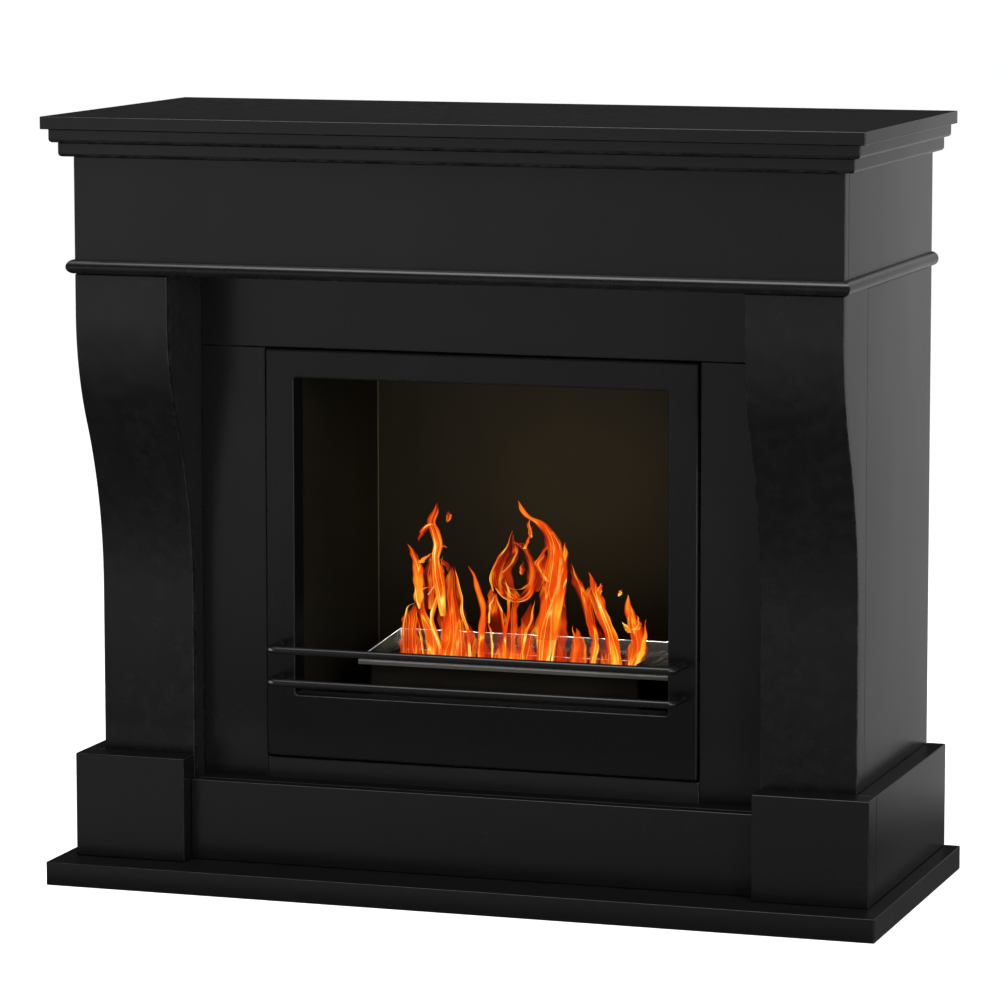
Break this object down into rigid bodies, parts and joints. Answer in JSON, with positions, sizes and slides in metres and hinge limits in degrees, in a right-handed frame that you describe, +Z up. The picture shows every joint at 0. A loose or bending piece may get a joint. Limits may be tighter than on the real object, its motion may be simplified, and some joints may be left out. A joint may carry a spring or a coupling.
{
  "type": "bioethanol fireplace",
  "caption": "Black painted fireplace surround with S-shaped pilasters, a steel firebox insert with fender rails, and a lift-out bioethanol burner with a sliding regulator lid.",
  "frame": {"origin": "middle of the underside, on the floor, under the centre of the bounding box", "axes": "+Z up, +X to the right seen from the front, -Y out of the front, +Y towards the wall"},
  "size_m": [1.092, 0.482, 0.9858],
  "materials": {
    "black_paint": "satin black paint on board",
    "bare_board": "raw fibreboard",
    "black_steel": "black powder coat",
    "rail_black": "satin black",
    "zinc": "zinc plated",
    "stainless": "brushed stainless",
    "mineral_wool": "matt ceramic wool"
  },
  "bodies": {
    "root": {"base_slab": "black_paint", "plinth_front_left": "black_paint", "plinth_side_left": "black_paint", "plinth_front_right": "black_paint", "plinth_side_right": "black_paint", "plinth_front_centre": "black_paint", "plinth_ledge_centre": "black_paint", "pilaster_face_left": "black_paint", "pilaster_cheek_outer_left": "black_paint", "pilaster_cheek_inner_left": "black_paint", "pilaster_face_right": "black_paint", "pilaster_cheek_outer_right": "black_paint", "pilaster_cheek_inner_right": "black_paint", "header_board": "black_paint", "stile_left": "black_paint", "stile_right": "black_paint", "bottom_rail": "black_paint", "frieze_front": "black_paint", "frieze_return_left": "black_paint", "frieze_return_right": "black_paint", "soffit_board": "black_paint", "bead_front": "black_paint", "bead_left": "black_paint", "bead_right": "black_paint", "cornice_lower": "black_paint", "cornice_upper": "black_paint", "top_slab": "black_paint", "side_panel_left": "black_paint", "side_panel_right": "black_paint", "pilaster_rib_top_left": "bare_board", "pilaster_rib_bottom_left": "bare_board", "pilaster_rib_top_right": "bare_board", "pilaster_rib_bottom_right": "bare_board", "carcass_top": "bare_board", "back_rail_top": "bare_board", "back_rail_bottom": "bare_board", "insert_shelf": "bare_board", "shelf_cleat_left": "bare_board", "shelf_cleat_right": "bare_board", "insert_fascia": "black_steel", "firebox_left": "black_steel", "firebox_right": "black_steel", "firebox_back": "black_steel", "firebox_top": "black_steel", "firebox_floor": "black_steel", "burner_locator_left": "black_steel", "burner_locator_right": "black_steel", "fender_rail_upper": "rail_black", "fender_rail_lower": "rail_black", "rail_nut_upper_left": "zinc", "rail_nut_upper_right": "zinc", "rail_nut_lower_left": "zinc", "rail_nut_lower_right": "zinc"},
    "burner": {"burner_tank": "stainless", "absorbent_pad": "mineral_wool", "burner_tray": "stainless", "regulator_guide_left": "stainless", "regulator_guide_right": "stainless"},
    "regulator": {"regulator_lid": "stainless"}
  },
  "joints": [
    {"name": "burner_lift", "type": "slide", "parent": "root", "child": "burner", "axis": [0, 0, 1], "range_m": [0, 0.06]},
    {"name": "regulator_slide", "type": "slide", "parent": "burner", "child": "regulator", "axis": [0, -1, 0], "range_m": [0, 0.057]}
  ]
}
